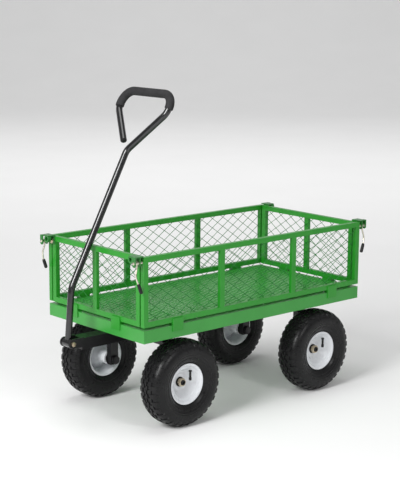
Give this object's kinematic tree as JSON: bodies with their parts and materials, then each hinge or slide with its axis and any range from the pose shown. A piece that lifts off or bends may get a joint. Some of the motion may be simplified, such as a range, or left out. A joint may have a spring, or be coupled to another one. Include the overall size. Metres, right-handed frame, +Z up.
{
  "type": "garden cart",
  "caption": "Pull-along garden cart: folded steel tray with lift-off wire mesh sides, corner latch pins, turntable steering, pneumatic wheels and a bent tube pull handle.",
  "frame": {"origin": "on the ground under the middle of the outline of the whole cart", "axes": "+Z up, +X from the pull handle towards the rear, +Y to the side of the cart that the free end of the handle tube is on"},
  "size_m": [1.024, 0.465, 0.957],
  "materials": {
    "green_coat": "satin powder coat",
    "black_coat": "satin powder coat",
    "gloss_black": "gloss powder coat",
    "foam": "matt closed-cell foam",
    "tyre": "matt rubber",
    "white_coat": "satin powder coat",
    "zinc": "yellow-passivated zinc plate",
    "vinyl": "dipped vinyl",
    "black_plastic": "moulded nylon",
    "valve_rubber": "moulded rubber"
  },
  "bodies": {
    "chassis": {"tray_frame": "green_coat", "deck_mesh": "green_coat", "cross_member_front": "green_coat", "cross_member_middle": "green_coat", "cross_member_rear": "green_coat", "rear_axle_bracket": "black_coat", "turntable_plate": "black_coat", "king_pin": "zinc", "king_pin_nut": "zinc", "rear_near_axle_bolt": "black_coat", "rear_near_axle_nut": "zinc", "rear_far_axle_bolt": "black_coat", "rear_far_axle_nut": "zinc"},
    "steering": {"front_axle_bracket": "black_coat", "tongue": "black_coat", "front_near_axle_bolt": "black_coat", "front_near_axle_nut": "zinc", "front_far_axle_bolt": "black_coat", "front_far_axle_nut": "zinc", "handle_pivot_bolt": "zinc", "handle_pivot_nut": "zinc"},
    "handle": {"handle_tube": "gloss_black", "handle_grip": "foam", "handle_end_plug": "vinyl"},
    "near_panel": {"near_panel_frame": "green_coat", "near_panel_mesh": "green_coat"},
    "far_panel": {"far_panel_frame": "green_coat", "far_panel_mesh": "green_coat"},
    "front_panel": {"front_panel_frame": "green_coat", "front_panel_mesh": "green_coat", "front_near_latch_bracket": "green_coat", "front_far_latch_bracket": "green_coat"},
    "rear_panel": {"rear_panel_frame": "green_coat", "rear_panel_mesh": "green_coat", "rear_near_latch_bracket": "green_coat", "rear_far_latch_bracket": "green_coat"},
    "front_near_pin": {"front_near_latch_pin": "zinc", "front_near_latch_tip": "vinyl"},
    "front_near_wheel": {"front_near_tyre": "tyre", "front_near_rim": "white_coat", "front_near_hub_bearing": "black_plastic", "front_near_valve_stem": "valve_rubber"},
    "front_far_pin": {"front_far_latch_pin": "zinc", "front_far_latch_tip": "vinyl"},
    "front_far_wheel": {"front_far_tyre": "tyre", "front_far_rim": "white_coat", "front_far_hub_bearing": "black_plastic", "front_far_valve_stem": "valve_rubber"},
    "rear_near_pin": {"rear_near_latch_pin": "zinc", "rear_near_latch_tip": "vinyl"},
    "rear_near_wheel": {"rear_near_tyre": "tyre", "rear_near_rim": "white_coat", "rear_near_hub_bearing": "black_plastic", "rear_near_valve_stem": "valve_rubber"},
    "rear_far_pin": {"rear_far_latch_pin": "zinc", "rear_far_latch_tip": "vinyl"},
    "rear_far_wheel": {"rear_far_tyre": "tyre", "rear_far_rim": "white_coat", "rear_far_hub_bearing": "black_plastic", "rear_far_valve_stem": "valve_rubber"}
  },
  "joints": [
    {"name": "steer", "type": "hinge", "parent": "chassis", "child": "steering", "pos_m": [-0.24185, 0, 0.245], "axis": [0, 0, 1], "range_deg": [-20, 20]},
    {"name": "handle_pitch", "type": "hinge", "parent": "steering", "child": "handle", "pos_m": [-0.49795, 0, 0.2495], "axis": [0, -1, 0], "range_deg": [0, 130]},
    {"name": "near_panel_lift", "type": "slide", "parent": "chassis", "child": "near_panel", "axis": [0, 0, 1], "range_m": [0, 0.25]},
    {"name": "far_panel_lift", "type": "slide", "parent": "chassis", "child": "far_panel", "axis": [0, 0, 1], "range_m": [0, 0.25]},
    {"name": "rear_panel_lift", "type": "slide", "parent": "chassis", "child": "rear_panel", "axis": [0, 0, 1], "range_m": [0, 0.25]},
    {"name": "front_panel_lift", "type": "slide", "parent": "chassis", "child": "front_panel", "axis": [0, 0, 1], "range_m": [0, 0.014]},
    {"name": "front_near_pin_pull", "type": "slide", "parent": "front_panel", "child": "front_near_pin", "axis": [-1, 0, 0], "range_m": [0, 0.005], "stiffness_N_per_m": 200, "springref_m": -0.004},
    {"name": "front_far_pin_pull", "type": "slide", "parent": "front_panel", "child": "front_far_pin", "axis": [-1, 0, 0], "range_m": [0, 0.005], "stiffness_N_per_m": 200, "springref_m": -0.004},
    {"name": "rear_near_pin_pull", "type": "slide", "parent": "rear_panel", "child": "rear_near_pin", "axis": [1, 0, 0], "range_m": [0, 0.005], "stiffness_N_per_m": 200, "springref_m": -0.004},
    {"name": "rear_far_pin_pull", "type": "slide", "parent": "rear_panel", "child": "rear_far_pin", "axis": [1, 0, 0], "range_m": [0, 0.005], "stiffness_N_per_m": 200, "springref_m": -0.004},
    {"name": "front_near_wheel_spin", "type": "hinge", "parent": "steering", "child": "front_near_wheel", "pos_m": [-0.24185, -0.19, 0.128], "axis": [0, 1, 0], "continuous": true},
    {"name": "front_far_wheel_spin", "type": "hinge", "parent": "steering", "child": "front_far_wheel", "pos_m": [-0.24185, 0.19, 0.128], "axis": [0, 1, 0], "continuous": true},
    {"name": "rear_near_wheel_spin", "type": "hinge", "parent": "chassis", "child": "rear_near_wheel", "pos_m": [0.31195, -0.19, 0.128], "axis": [0, 1, 0], "continuous": true},
    {"name": "rear_far_wheel_spin", "type": "hinge", "parent": "chassis", "child": "rear_far_wheel", "pos_m": [0.31195, 0.19, 0.128], "axis": [0, 1, 0], "continuous": true}
  ]
}
